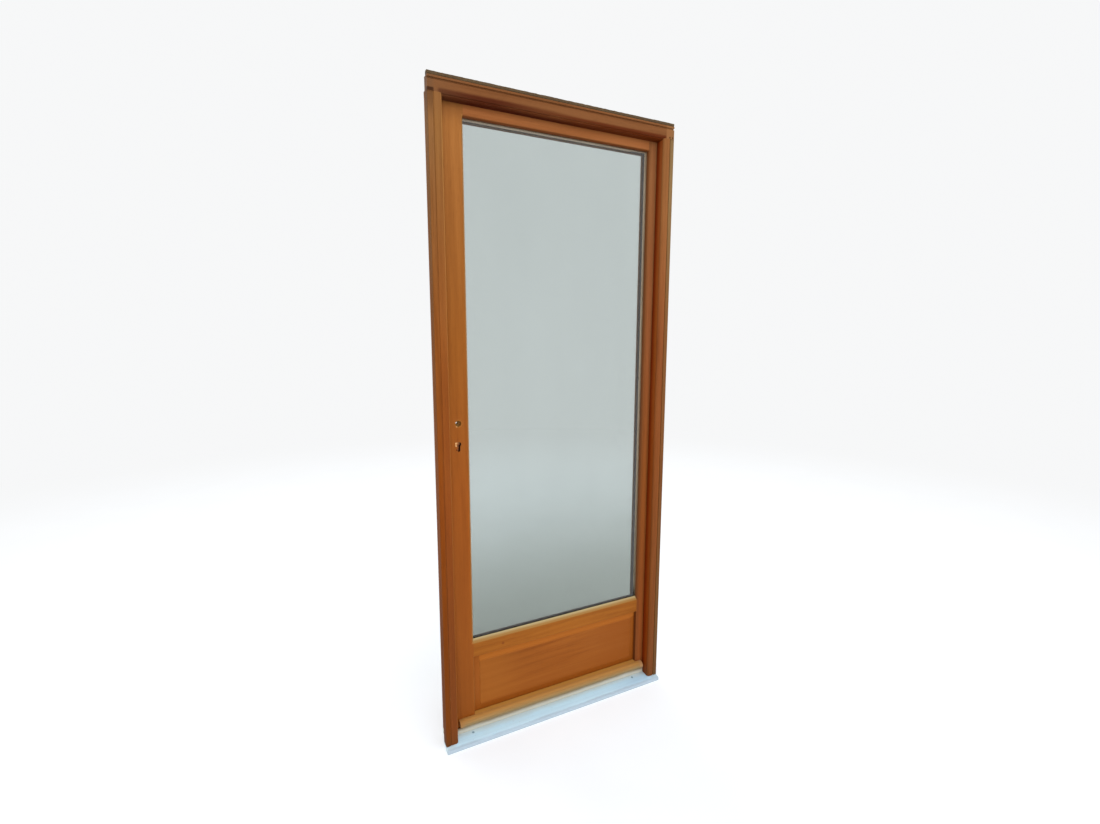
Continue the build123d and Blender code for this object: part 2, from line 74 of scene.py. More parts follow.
class Tree:
    """A material and short calls for the nodes in it."""

    def __init__(self, name):
        self.mat = bpy.data.materials.new(name)
        self.mat.use_nodes = True
        self.nt = self.mat.node_tree
        self.nt.nodes.clear()
        self.out = self.nt.nodes.new("ShaderNodeOutputMaterial")
        self.bsdf = self.nt.nodes.new("ShaderNodeBsdfPrincipled")
        self.nt.links.new(self.bsdf.outputs[0], self.out.inputs["Surface"])
        self.co = self.nt.nodes.new("ShaderNodeTexCoord").outputs["Object"]
        sep = self.nt.nodes.new("ShaderNodeSeparateXYZ")
        self.nt.links.new(self.co, sep.inputs[0])
        self.x, self.y, self.z = sep.outputs

    def put(self, socket, value):
        if isinstance(value, bpy.types.NodeSocket):
            self.nt.links.new(value, socket)
        else:
            socket.default_value = value

    def set(self, **values):
        for key, value in values.items():
            self.put(self.bsdf.inputs[key.replace("_", " ")], value)

    def math(self, op, a, b=0.0, clamp=False):
        n = self.nt.nodes.new("ShaderNodeMath")
        n.operation = op
        n.use_clamp = clamp
        self.put(n.inputs[0], a)
        self.put(n.inputs[1], b)
        return n.outputs[0]

    def mapping(self, scale, loc=(0, 0, 0), rot=(0, 0, 0)):
        n = self.nt.nodes.new("ShaderNodeMapping")
        self.put(n.inputs["Vector"], self.co)
        n.inputs["Location"].default_value = loc
        n.inputs["Rotation"].default_value = rot
        n.inputs["Scale"].default_value = scale
        return n.outputs[0]

    def noise(self, vector, scale, detail=3.0, rough=0.5, distort=0.0):
        n = self.nt.nodes.new("ShaderNodeTexNoise")
        self.put(n.inputs["Vector"], vector)
        n.inputs["Scale"].default_value = scale
        n.inputs["Detail"].default_value = detail
        n.inputs["Roughness"].default_value = rough
        n.inputs["Distortion"].default_value = distort
        return n.outputs[0]

    def remap(self, value, a, b, c=0.0, d=1.0, kind="SMOOTHSTEP"):
        n = self.nt.nodes.new("ShaderNodeMapRange")
        n.interpolation_type = kind
        self.put(n.inputs["Value"], value)
        n.inputs["From Min"].default_value = a
        n.inputs["From Max"].default_value = b
        n.inputs["To Min"].default_value = c
        n.inputs["To Max"].default_value = d
        return n.outputs["Result"]

    def mix(self, factor, a, b, mode="MIX"):
        n = self.nt.nodes.new("ShaderNodeMix")
        n.data_type = "RGBA"
        n.blend_type = mode
        self.put(n.inputs[0], factor)
        self.put(n.inputs[6], a)
        self.put(n.inputs[7], b)
        return n.outputs[2]

    def ramp(self, factor, stops):
        n = self.nt.nodes.new("ShaderNodeValToRGB")
        self.put(n.inputs[0], factor)
        while len(n.color_ramp.elements) < len(stops):
            n.color_ramp.elements.new(0.5)
        for e, (p, c) in zip(n.color_ramp.elements, stops):
            e.position = p
            e.color = c
        return n.outputs[0]

    def bump(self, height, strength, distance):
        n = self.nt.nodes.new("ShaderNodeBump")
        self.put(n.inputs["Height"], height)
        n.inputs["Strength"].default_value = strength
        n.inputs["Distance"].default_value = distance
        self.put(self.bsdf.inputs["Normal"], n.outputs[0])
        return n.outputs[0]

    def edges(self, radius, samples=4):
        """0 on flat faces, 1 on edges."""
        b = self.nt.nodes.new("ShaderNodeBevel")
        b.samples = samples
        b.inputs["Radius"].default_value = radius
        g = self.nt.nodes.new("ShaderNodeNewGeometry")
        d = self.nt.nodes.new("ShaderNodeVectorMath")
        d.operation = "DOT_PRODUCT"
        self.put(d.inputs[0], b.outputs[0])
        self.put(d.inputs[1], g.outputs["Normal"])
        return self.remap(d.outputs["Value"], 0.995, 0.80)

    def crevice(self, distance, samples=4):
        """1 in corners and gaps, 0 in the open."""
        n = self.nt.nodes.new("ShaderNodeAmbientOcclusion")
        n.samples = samples
        n.inputs["Distance"].default_value = distance
        return self.remap(n.outputs["AO"], 0.75, 0.15)

    def disc(self, cx, cz, r0, r1):
        """1 within r0 of a point in the X-Z plane, 0 past r1."""
        dx = self.math("SUBTRACT", self.x, cx)
        dz = self.math("SUBTRACT", self.z, cz)
        s = self.math("ADD", self.math("MULTIPLY", dx, dx), self.math("MULTIPLY", dz, dz))
        return self.remap(self.math("SQRT", s), r0, r1, 1.0, 0.0)


# ------------------------------------------------------------------ materials
# Tones given at these heights grow darker towards the bottom: partly the wood's own weathering, partly painted shade
# where the light falls off lower down.
HEIGHTS = (2.0, 1.4, 0.9, 0.2)


def wood(name, along, seed, tones, contrast=1.0, broad=1.0, shade=(), knots=(), holes=(), gloss=0.46, wear=0.5, rub=(188, 128, 78), blue=0.78, shine=0.11):
    """Stained wood with its grain along one axis. tones holds the middle tone, or its four values at the HEIGHTS. shade
    holds (axis, from, to, colours, share): the tone goes to that colour, or to the one for its height, as the axis
    value goes from one number to the other; a sixth value (axis, from, to) keeps it to a zone. Many shade entries are
    painted shade and painted highlights, the rest are tone changes of the wood. holes holds (x, z, inner radius, outer
    radius, y from, y to, colour, share);
    some of them paint light and shade into the lock holes. Corners and gaps are darkened as painted shade."""
    t = Tree(name)
    r = random.Random(seed)
    off = [r.uniform(-9, 9) for _ in range(3)]
    k = 0.035

    def stretched(f):
        return tuple(f if "XYZ"[i] == along else 1.0 for i in range(3))

    def by_height(colours):
        if not isinstance(colours[0], tuple):
            return lin(*colours)
        if len(colours) == 1:
            return lin(*colours[0])
        span = HEIGHTS[0] - HEIGHTS[-1]
        level = t.remap(t.z, HEIGHTS[-1], HEIGHTS[0], kind="LINEAR")
        return t.ramp(level, [((h - HEIGHTS[-1]) / span, lin(*c)) for h, c in zip(HEIGHTS[::-1], colours[::-1])])

    v1 = t.mapping(stretched(k), off)
    v2 = t.mapping(stretched(0.016), [o * 1.7 for o in off])
    v3 = t.mapping(stretched(0.25), off[::-1])
    broad_streak = t.noise(v1, 26.0, 3.0, 0.55, 0.35)
    streak = t.noise(v1, 75.0, 5.0, 0.6, 0.5)
    fine = t.noise(v2, 260.0, 4.0, 0.7, 0.2)
    pores = t.noise(v2, 1400.0, 2.0, 0.6)
    blotch = t.noise(v3, 5.0, 3.0, 0.5)
    # growth rings, bent by a slow noise
    bend = t.noise(t.mapping(stretched(0.12), off), 7.0, 2.0, 0.5)
    cross = t.x if along != "X" else t.z
    ring = t.math("ADD", t.math("MULTIPLY", bend, 11.0), t.math("ADD", t.math("MULTIPLY", cross, 62.0), t.math("MULTIPLY", t.y, 35.0)))
    ring = t.math("PINGPONG", ring, 1.0)
    # knots: a dark patch round each point
    knot_mask = None
    for kx, kz, kr in knots:
        m = t.disc(kx, kz, kr * 0.25, kr)
        knot_mask = m if knot_mask is None else t.math("MAXIMUM", knot_mask, m)
    g = t.math("ADD", t.math("MULTIPLY", streak, 0.42), t.math("MULTIPLY", fine, 0.2))
    g = t.math("ADD", g, t.math("MULTIPLY", broad_streak, 0.26 * broad))
    g = t.math("ADD", g, t.math("MULTIPLY", ring, 0.12))
    g = t.math("SUBTRACT", g, 0.13 * (broad - 1.0))
    c = contrast
    tint = t.ramp(
        g,
        [
            (0.30, (1 - 0.42 * c, 1 - 0.50 * c, 1 - 0.62 * c, 1)),
            (0.44, (1 - 0.12 * c, 1 - 0.16 * c, 1 - 0.20 * c, 1)),
            (0.54, (1.0, 1.0, 1.0, 1)),
            (0.70, (1 + 0.18 * c, 1 + 0.26 * c, 1 + 0.40 * c, 1)),
        ],
    )
    col = t.mix(1.0, by_height(tones), tint, "MULTIPLY")
    col = t.mix(t.remap(pores, 0.56, 0.70, 0.0, 0.35), col, (0.055, 0.018, 0.006, 1))
    col = t.mix(t.remap(blotch, 0.30, 0.75, 0.20, 0.0), col, (0.11, 0.035, 0.010, 1))
    col = t.mix(t.remap(blotch, 0.55, 0.80, 0.0, 0.14), col, (0.48, 0.24, 0.09, 1))
    for axis, a, b, colour, share, *zone in shade:
        value = {"X": t.x, "Y": t.y, "Z": t.z, "AX": t.math("ABSOLUTE", t.x)}[axis]
        value = t.math("ADD", value, t.math("MULTIPLY", t.math("SUBTRACT", streak, 0.5), abs(b - a) * 0.5))
        amount = t.remap(value, a, b, 0.0, share)
        for zone_axis, za, zb in zone:
            amount = t.math("MULTIPLY", amount, t.remap({"X": t.x, "Y": t.y, "Z": t.z}[zone_axis], za, zb))
        col = t.mix(amount, col, by_height(colour))
    if knot_mask is not None:
        col = t.mix(t.math("MULTIPLY", knot_mask, 0.7), col, lin(116, 56, 18))
    hollow = None
    for hx, hz, r0, r1, ya, yb, colour, share in holes:
        window = t.math("MULTIPLY", t.remap(t.y, ya, ya + 0.001), t.remap(t.y, yb, yb - 0.001))
        m = t.math("MULTIPLY", t.disc(hx, hz, r0, r1), window)
        col = t.mix(t.math("MULTIPLY", m, share), col, lin(*colour))
        hollow = m if hollow is None else t.math("MAXIMUM", hollow, m)
    edge = t.edges(0.0022)
    patch = t.remap(t.noise(v3, 14.0, 4.0, 0.65), 0.46, 0.66)
    rubbed = t.math("MULTIPLY", t.math("MULTIPLY", edge, patch), wear)
    col = t.mix(rubbed, col, lin(*rub))
    # painted shade: darker in corners and gaps, from the ambient occlusion
    crevice_shade = t.math("MULTIPLY", t.crevice(0.006), 0.30)
    col = t.mix(crevice_shade, col, (0.045, 0.014, 0.004, 1))
    col = t.mix(1.0, col, (1.0, 1.0, blue, 1.0), "MULTIPLY")
    t.put(t.bsdf.inputs["Base Color"], col)
    rough = t.math("ADD", t.remap(g, 0.3, 0.7, gloss + 0.10, gloss - 0.04), t.remap(blotch, 0.3, 0.8, 0.08, -0.03))
    rough = t.math("ADD", rough, t.math("MULTIPLY", rubbed, 0.2))
    if hollow is not None:
        rough = t.math("MAXIMUM", rough, hollow)
    t.put(t.bsdf.inputs["Roughness"], rough)
    t.bsdf.inputs["Specular IOR Level"].default_value = shine
    height = t.math("ADD", t.math("MULTIPLY", fine, 0.5), t.math("MULTIPLY", streak, 0.6))
    height = t.math("SUBTRACT", height, t.remap(pores, 0.56, 0.70, 0.0, 0.35))
    height = t.math("SUBTRACT", height, t.math("MULTIPLY", rubbed, 0.25))
    t.bump(height, 0.30, 0.0006)
    return t.mat


def metal(name, tone, rough, seed, along="X", metallic=1.0, grain=0.10, marks=(), dull=(120, 118, 112), bump=0.08, scale=320.0, crevice_shade=0.6, specular=0.5):
    """Metal with fine drawing lines along one axis, dull patches, worn edges and painted shade in corners and gaps."""
    t = Tree(name)
    r = random.Random(seed)
    off = [r.uniform(-9, 9) for _ in range(3)]
    lines = t.noise(t.mapping(tuple(0.02 if "XYZ"[i] == along else 1.0 for i in range(3)), off), scale, 3.0, 0.6)
    patch = t.noise(t.mapping((1, 1, 1), off), 9.0, 4.0, 0.6)
    speck = t.noise(t.mapping((1, 1, 1), off), 160.0, 2.0, 0.6)
    a = lin(*tone)
    col = t.mix(t.remap(lines, 0.3, 0.7), tuple(v * (1 - grain) for v in a[:3]) + (1,), tuple(min(1, v * (1 + grain)) for v in a[:3]) + (1,))
    col = t.mix(t.remap(patch, 0.52, 0.75, 0.0, 0.35), col, lin(*dull))
    col = t.mix(t.remap(speck, 0.66, 0.76, 0.0, 0.45), col, lin(*[int(v * 0.55) for v in dull]))
    for axis, lo, hi, colour, share, *zone in marks:
        value = {"X": t.x, "Y": t.y, "Z": t.z, "AX": t.math("ABSOLUTE", t.x)}[axis]
        value = t.math("ADD", value, t.math("MULTIPLY", t.math("SUBTRACT", patch, 0.5), abs(hi - lo) * 0.8))
        amount = t.remap(value, lo, hi, 0.0, share)
        for zone_axis, za, zb in zone:
            amount = t.math("MULTIPLY", amount, t.remap({"X": t.x, "Y": t.y, "Z": t.z}[zone_axis], za, zb))
        col = t.mix(amount, col, lin(*colour))
    # painted shade: darker in corners and gaps
    if crevice_shade:
        col = t.mix(t.math("MULTIPLY", t.crevice(0.006), crevice_shade), col, (0.05, 0.045, 0.04, 1))
    col = t.mix(t.math("MULTIPLY", t.edges(0.0012), 0.35), col, tuple(min(1, v * 1.25) for v in a[:3]) + (1,))
    t.put(t.bsdf.inputs["Base Color"], col)
    rr = t.math("ADD", t.remap(lines, 0.3, 0.7, rough - 0.06, rough + 0.08), t.remap(patch, 0.45, 0.8, 0.0, 0.16))
    t.put(t.bsdf.inputs["Roughness"], rr)
    t.bsdf.inputs["Metallic"].default_value = metallic
    t.bsdf.inputs["Specular IOR Level"].default_value = specular
    t.bump(t.math("ADD", lines, t.math("MULTIPLY", speck, 0.3)), bump, 0.0003)
    return t.mat


def rubber(name, tone, seed, dust=(92, 88, 80), rough=0.75, marks=(), spread=0.5):
    t = Tree(name)
    r = random.Random(seed)
    off = [r.uniform(-9, 9) for _ in range(3)]
    cells = t.noise(t.mapping((1, 1, 1), off), 420.0, 3.0, 0.7)
    patch = t.noise(t.mapping((0.3, 1, 1), off), 22.0, 4.0, 0.6)
    a = lin(*tone)
    col = t.mix(t.remap(cells, 0.35, 0.7), tuple(v * 0.6 for v in a[:3]) + (1,), tuple(v * 1.5 for v in a[:3]) + (1,))
    for axis, lo, hi, colour, share in marks:
        value = {"X": t.x, "Y": t.y, "Z": t.z}[axis]
        col = t.mix(t.remap(value, lo, hi, 0.0, share), col, lin(*colour))
    col = t.mix(t.remap(patch, 0.48, 0.72, 0.0, spread), col, lin(*dust))
    t.put(t.bsdf.inputs["Base Color"], col)
    t.put(t.bsdf.inputs["Roughness"], t.remap(patch, 0.3, 0.8, rough - 0.1, rough + 0.15))
    t.bsdf.inputs["Specular IOR Level"].default_value = 0.3
    t.bump(cells, 0.35, 0.0006)
    return t.mat


def pane(name, tint, seed, film, smear_x=None):
    """Clear glass that lets lamps through, with a faint uneven film on it; it grows darker and greyer towards the foot,
    partly a film of dust, partly painted shade. smear_x is the X of the edge along which a tan smear of sealant lies."""
    t = Tree(name)
    r = random.Random(seed)
    off = [r.uniform(-9, 9) for _ in range(3)]
    smear = t.noise(t.mapping((1, 1, 0.5), off, (0, 0.2, 0)), 2.6, 2.0, 0.5, 0.2)
    runs = t.noise(t.mapping((1, 1, 0.05), off), 12.0, 2.0, 0.5)
    level = t.math("ADD", t.remap(smear, 0.30, 0.75, 0.0, 0.7), t.remap(runs, 0.40, 0.75, 0.0, 0.3))
    col = t.mix(t.math("MULTIPLY", level, film, True), lin(*tint), lin(204, 210, 208))
    # darker and greyer towards the foot: partly dust, partly painted shade
    col = t.mix(t.remap(t.z, 1.02, 0.36, 0.0, 0.94), col, lin(186, 191, 186))
    if smear_x is not None:
        col = t.mix(t.remap(t.math("ADD", t.x, t.math("MULTIPLY", runs, 0.0008)), smear_x + 0.0066, smear_x + 0.0012, 0.0, 0.9), col, lin(198, 158, 120))
    t.put(t.bsdf.inputs["Base Color"], col)
    t.bsdf.inputs["Roughness"].default_value = 0.0
    t.bsdf.inputs["IOR"].default_value = 1.5
    t.bsdf.inputs["Transmission Weight"].default_value = 1.0
    clear = t.nt.nodes.new("ShaderNodeBsdfTransparent")
    clear.inputs[0].default_value = (0.90, 0.93, 0.92, 1)
    path = t.nt.nodes.new("ShaderNodeLightPath")
    mixer = t.nt.nodes.new("ShaderNodeMixShader")
    t.put(mixer.inputs[0], path.outputs["Is Shadow Ray"])
    t.put(mixer.inputs[1], t.bsdf.outputs[0])
    t.put(mixer.inputs[2], clear.outputs[0])
    t.put(t.out.inputs["Surface"], mixer.outputs[0])
    return t.mat


def dress(node, mat):
    o = N[node] if isinstance(node, str) else node
    if not o.material_slots:
        o.data.materials.append(mat)
    for s in o.material_slots:
        s.material = mat
    return o


# ------------------------------------------------------- softening CAD edges
def soften(node, width, segments=2, angle=32):
    """Small rounds on a CAD node's sharp edges, by modifiers only."""
    o = N[node]
    for p in o.data.polygons:
        p.use_smooth = True
    w = o.modifiers.new("weld", "WELD")
    w.merge_threshold = 0.00002
    d = o.modifiers.new("flat", "DECIMATE")
    d.decimate_type = "DISSOLVE"
    d.angle_limit = math.radians(0.6)
    b = o.modifiers.new("round", "BEVEL")
    b.width = width
    b.segments = segments
    b.limit_method = "ANGLE"
    b.angle_limit = math.radians(angle)
    b.use_clamp_overlap = True
    n = o.modifiers.new("normals", "WEIGHTED_NORMAL")
    n.weight = 80
    n.keep_sharp = False


# colours are the middle tones read off the photographed window
# painted shade for the deep part of the jamb reveals
PAINTED_REVEAL_SHADE = (86, 30, 4)
OLIVE = (116, 78, 40)

foot = ("Z", 0.095, 0.022, (104, 58, 26), 0.5)
HINGE_SIDE = [(137, 79, 48), (126, 66, 30), (123, 61, 23), (112, 51, 17)]

dress(
    "left_jamb",
    wood(
        "wood_left_jamb",
        "Z",
        11,
        [(147, 98, 56), (142, 76, 27), (137, 67, 17), (122, 60, 15)],
        contrast=0.75,
        # the AX entry is a painted highlight along the front arris, brighter at the top; the Y entry is painted shade
        # in the reveal
        shade=[("AX", 0.4118, 0.4070, [(194, 135, 80), (178, 109, 52), (171, 100, 40), (157, 89, 30)], 0.88), ("Y", 0.010, 0.034, PAINTED_REVEAL_SHADE, 0.75), foot, ("Z", 2.04, 2.12, (134, 88, 54), 0.6)],
    ),
)
dress(
    "right_jamb",
    wood(
        "wood_right_jamb",
        "Z",
        12,
        [(147, 93, 55), (146, 81, 45), (137, 75, 35), (119, 64, 25)],
        contrast=0.75,
        # painted shade in the reveal: redder at its front edge, dark red deeper in
        shade=[("Y", 0.006, 0.014, [(166, 83, 38), (162, 82, 28), (156, 73, 22), (150, 68, 17)], 0.85), ("Y", 0.016, 0.036, (120, 38, 0), 0.95), foot],
    ),
)
dress(
    "left_cover_strip",
    wood(
        "wood_left_strip",
        "Z",
        13,
        [(142, 97, 56), (148, 84, 33), (134, 65, 17), (117, 58, 14)],
        contrast=0.8,
        shine=0.02,
        blue=1.0,
        # the X entry darkens the outer side face, more lower down: partly dirt, partly painted shade
        shade=[("X", -0.4475, -0.4500, [(122, 84, 46), (120, 72, 32), (126, 68, 24), (106, 54, 16)], 0.72), ("Z", 2.04, 2.12, (107, 71, 43), 0.85), ("Z", 2.1205, 2.1250, (92, 58, 32), 0.6), foot, ("Z", 0.050, 0.018, (92, 60, 34), 0.6)],
    ),
)
dress(
    "right_cover_strip",
    wood(
        "wood_right_strip",
        "Z",
        14,
        [(138, 109, 79), (130, 84, 48), (121, 73, 41), (107, 72, 40)],
        contrast=0.8,
        shade=[("X", 0.4440, 0.4500, (116, 88, 58), 0.5), ("Z", 2.1205, 2.1250, (92, 62, 36), 0.7), foot, ("Z", 0.060, 0.018, (92, 70, 44), 0.6)],
    ),
)
dress(
    "head_rail",
    wood(
        "wood_head",
        "X",
        15,
        [(132, 82, 46)],
        contrast=0.8,
        blue=0.9,
        # painted shade: the first two entries darken the lower front round of the head over the opening, the Y entry
        # darkens its underside, and the fourth makes that shade a little lighter and redder to the right; the last
        # entry is a dark joint
        shade=[("Z", 2.1430, 2.1325, (76, 26, 2), 0.94, ("X", 0.10, -0.25), ("X", -0.4240, -0.4120)), ("Z", 2.1380, 2.1285, (92, 38, 6), 0.94, ("X", -0.25, 0.10), ("X", 0.4220, 0.4110)), ("Y", 0.010, 0.030, (64, 12, 0), 0.95), ("X", -0.10, 0.30, (94, 36, 0), 0.8, ("Z", 2.1380, 2.1285), ("X", 0.4220, 0.4110)), ("X", -0.30, -0.45, (120, 82, 54), 0.35), ("X", -0.424, -0.440, (112, 76, 50), 0.7), ("X", 0.4120, 0.4200, (148, 98, 60), 0.8), ("X", 0.4300, 0.4460, (134, 96, 62), 0.7), ("Z", 2.1375, 2.1345, (58, 28, 8), 0.92, ("X", -0.4280, -0.4340), ("Y", 0.0120, 0.0100))],
        holes=[(0.4315, 2.1305, 0.0020, 0.0044, -0.010, 0.0100, (60, 38, 16), 0.85), (0.4435, 2.1308, 0.0020, 0.0044, -0.010, 0.0100, (60, 38, 16), 0.85)],
    ),
)
for i, n in enumerate(("left_jamb_back", "right_jamb_back")):
    dress(n, wood("wood_" + n, "Z", 21 + i, [(146, 92, 50), (140, 82, 42), (134, 74, 34), (124, 66, 28)]))
dress("head_back", wood("wood_head_back", "X", 24, [(136, 84, 46)]))

LOCK = (-0.367, 1.138)
KEY = (-0.367, 1.068)
dress(
    "lock_stile",
    wood(
        "wood_lock_stile",
        "Z",
        31,
        [(171, 109, 58), (161, 93, 34), (161, 85, 27), (146, 77, 20)],
        contrast=0.65,
        broad=1.0,
        # the Y entry is painted light: the glass splay is made pale as if lit from the right
        shade=[("Z", 2.06, 2.13, (140, 88, 52), 0.7), ("Y", 0.0450, 0.0480, (174, 120, 68), 0.8, ("Y", 0.0545, 0.0535), ("X", -0.3450, -0.3400))],
        holes=[
            (LOCK[0], LOCK[1], 0.0120, 0.0170, 0.040, 0.0465, (168, 110, 60), 0.35),
            # painted light: the wall of the spindle hole is lightened against its shade
            (LOCK[0], LOCK[1], 0.0100, 0.0120, 0.0462, 0.0935, (180, 134, 72), 0.9),
            (LOCK[0] - 0.0056, LOCK[1] - 0.0094, 0.0016, 0.0040, 0.040, 0.0480, (206, 150, 108), 0.85),
            # painted shade on the keyhole's front wall and painted light on its rear wall
            (KEY[0], KEY[1] - 0.008, 0.0180, 0.0200, 0.0462, 0.0640, (58, 14, 0), 0.95),
            (KEY[0], KEY[1] - 0.008, 0.0180, 0.0200, 0.0700, 0.0935, (255, 214, 166), 0.9),
            # painted light: pale patches at the keyhole's left stand in for the lit inside of the hole; the spot below
            # is painted shade
            (KEY[0] - 0.0088, KEY[1] + 0.0040, 0.0026, 0.0046, 0.040, 0.0480, (236, 182, 138), 0.9),
            (KEY[0] - 0.0084, KEY[1] - 0.0030, 0.0026, 0.0046, 0.040, 0.0480, (226, 176, 134), 0.9),
            (KEY[0] - 0.0070, KEY[1] - 0.0175, 0.0016, 0.0036, 0.040, 0.0480, (84, 26, 0), 0.9),
        ],
        wear=0.45,
    ),
)
dress(
    "hinge_stile",
    # tones raised to offset the shade the jamb casts on this stile, which is painted light; the X and Y entries are
    # painted shade along the glass splay
    wood("wood_hinge_stile", "Z", 32, [(162, 105, 63), (158, 93, 53), (160, 91, 40), (152, 81, 35)], contrast=0.65, blue=1.0, shade=[("X", 0.3900, 0.3800, [(134, 84, 46), (124, 70, 32), (120, 66, 26), (120, 64, 26)], 0.75, ("Y", 0.0600, 0.0590)), ("Y", 0.0452, 0.0510, (104, 58, 26), 0.92, ("Y", 0.0600, 0.0590))]),
)
# tone raised to offset the shade under the head, which is painted light; the Y entry is painted shade on the splay
# below the rail, which faces down
dress("top_rail", wood("wood_top_rail", "X", 33, [(171, 105, 60)], contrast=0.75, blue=0.9, shade=[("X", 0.08, 0.30, (167, 103, 60), 0.9), ("Y", 0.0452, 0.0500, (92, 46, 14), 0.92, ("Y", 0.0600, 0.0590))]))
dress(
    "middle_rail",
    # the sloped top is paler towards its back: partly weathering, partly a painted highlight on the face that looks up
    wood("wood_middle_rail", "X", 34, [(158, 91, 28)], contrast=0.85, shade=[("Z", 0.3435, 0.3475, (164, 122, 74), 0.85), ("Z", 0.3490, 0.3575, (186, 166, 136), 0.9)], knots=[(-0.219, 0.318, 0.0080)]),
)
dress(
    "bottom_rail",
    # the pale top of the rail is partly weathering and partly painted light that undoes the shade under the weather bar
    wood("wood_bottom_rail", "X", 35, [(144, 80, 28)], contrast=0.85, shade=[("Z", 0.0690, 0.0706, (190, 134, 70), 0.95), ("Z", 0.034, 0.031, (120, 104, 84), 0.8)]),
)
dress(
    "raised_panel",
    wood(
        "wood_panel",
        "X",
        36,
        [(151, 82, 25)],
        contrast=0.9,
        broad=1.3,
        # painted shade: darker low down and on the bottom and left margins, which face away from the light; the top
        # margin is lightened against the rail's shade as painted light; the other X entries are tone
        shade=[("Z", 0.160, 0.110, (146, 80, 28), 0.7), ("X", -0.10, -0.26, (156, 90, 33), 0.55), ("X", 0.08, 0.30, (140, 73, 18), 0.8), ("Z", 0.264, 0.272, (172, 98, 36), 0.9), ("Z", 0.1080, 0.0965, (140, 74, 22), 0.9), ("X", -0.3045, -0.3080, (146, 78, 26), 0.9)],
    ),
)
dress(
    "weather_bar",
    wood(
        "wood_weather_bar",
        "X",
        37,
        [(168, 127, 74)],
        blue=1.0,
        contrast=0.8,
        broad=1.1,
        wear=0.8,
        rub=(190, 156, 108),
        gloss=0.55,
        # the first entry is painted light: the top of the bar is lightened where the leaf shades it
        shade=[("Z", 0.0655, 0.0690, (180, 128, 66), 0.9), ("Z", 0.0640, 0.0560, (138, 118, 82), 0.9), ("X", -0.365, -0.388, (168, 112, 60), 0.5), ("X", 0.375, 0.394, (178, 130, 90), 0.6)],
    ),
)
for i, n in enumerate(("bead_left", "bead_right")):
    # painted shade: the glass side of the bead is near black, as it lies in shade behind the panes
    dress(n, wood("wood_" + n, "Z", 41 + i, [(160, 102, 54), (154, 92, 42), (150, 88, 38), (140, 78, 30)], shade=[("Y", 0.0845, 0.0825, (26, 16, 8), 0.95)]))
for i, n in enumerate(("bead_top", "bead_bottom")):
    # painted light on the top bead's glass side, painted shade on the bottom bead's
    dress(n, wood("wood_" + n, "X", 43 + i, [(154, 92, 44)], shade=[("Y", 0.0845, 0.0825, (168, 156, 140) if n == "bead_top" else (70, 54, 38), 0.9)], blue=1.0))

for n in ("left_jamb", "right_jamb", "left_jamb_back", "right_jamb_back", "head_rail", "head_back", "lock_stile", "hinge_stile", "top_rail", "middle_rail", "bottom_rail", "raised_panel", "weather_bar"):
    soften(n, 0.0005)
for n in ("left_cover_strip", "right_cover_strip"):
    soften(n, 0.0004)
for n in ("bead_left", "bead_right", "bead_top", "bead_bottom"):
    soften(n, 0.0006)

sill = metal(
    "satin_aluminium_sill",
    (209, 239, 255),
    0.34,
    51,
    metallic=0.05,
    grain=0.04,
    marks=[
        ("X", 0.16, 0.36, (184, 214, 234), 0.7),
        ("AX", 0.405, 0.430, (200, 204, 196), 0.45),
        ("Y", 0.010, 0.034, (204, 213, 214), 0.8),
        ("Y", 0.0355, 0.0365, (200, 192, 174), 0.9),
        ("Z", 0.0270, 0.0400, (136, 110, 74), 0.9),
        # painted shade on the front of the nose, which faces away from the top light
        ("Y", -0.0050, -0.0168, (168, 182, 194), 0.9),
    ],
    dull=(208, 230, 240),
    bump=0.05,
    crevice_shade=0.2,
)
dress("threshold", sill)
soften("threshold", 0.0005)
screw_steel = metal("screw_steel", (164, 178, 188), 0.45, 52, along="Y", metallic=0.6, dull=(116, 118, 116), crevice_shade=0.3)
# lighter and almost without metal so that the screws show light in their countersinks: painted light
sill_screw = metal("sill_screw_steel", (140, 168, 184), 0.5, 62, along="Y", metallic=0.1, dull=(112, 130, 140), crevice_shade=0.1)
for n in ("threshold_screw_left", "threshold_screw_right"):
    dress(n, sill_screw)
lock_steel = metal("plated_lock_steel", (168, 160, 140), 0.38, 53, along="Z", dull=(120, 108, 84))
for n in ("lock_faceplate", "latch_bolt", "dead_bolt", "strike_plate"):
    dress(n, lock_steel)
dress("lock_follower", metal("dull_brass_follower", (158, 122, 66), 0.7, 59, along="Y", metallic=0.0, dull=(120, 88, 44), crevice_shade=0.3, specular=0.15))
# painted light: the steel case is peach and not metallic so that it shows bright inside the keyhole
dress("lock_case", metal("lock_case_steel_painted_light", (214, 158, 112), 0.7, 60, along="Z", metallic=0.0, dull=(168, 116, 76), crevice_shade=0.1, specular=0.15))
hinge_steel = metal("plated_hinge_steel", (158, 150, 128), 0.36, 54, along="Z", dull=(112, 98, 74))
for b in ("frame", "leaf"):
    for lv in ("lower", "middle", "upper"):
        dress(f"hinge_{b}_{lv}", hinge_steel)
for n in ("strike_plate", "lock_faceplate"):
    soften(n, 0.0003)
# painted light: the spacer is near white and not metallic so that it shows bright between the panes; it is darker at
# the foot, partly dust and partly painted shade, and its far half on the right is painted shade
dress(
    "spacer_bar",
    metal(
        "spacer_painted_light_and_shade",
        (255, 220, 190),
        0.7,
        55,
        along="Z",
        metallic=0.0,
        grain=0.06,
        marks=[("Z", 0.42, 0.36, (70, 58, 42), 0.92), ("Y", 0.0715, 0.0735, (44, 32, 22), 0.92, ("X", 0.28, 0.34))],
        dull=(232, 190, 152),
        bump=0.04,
        crevice_shade=0.0,
        specular=0.15,
    ),
)
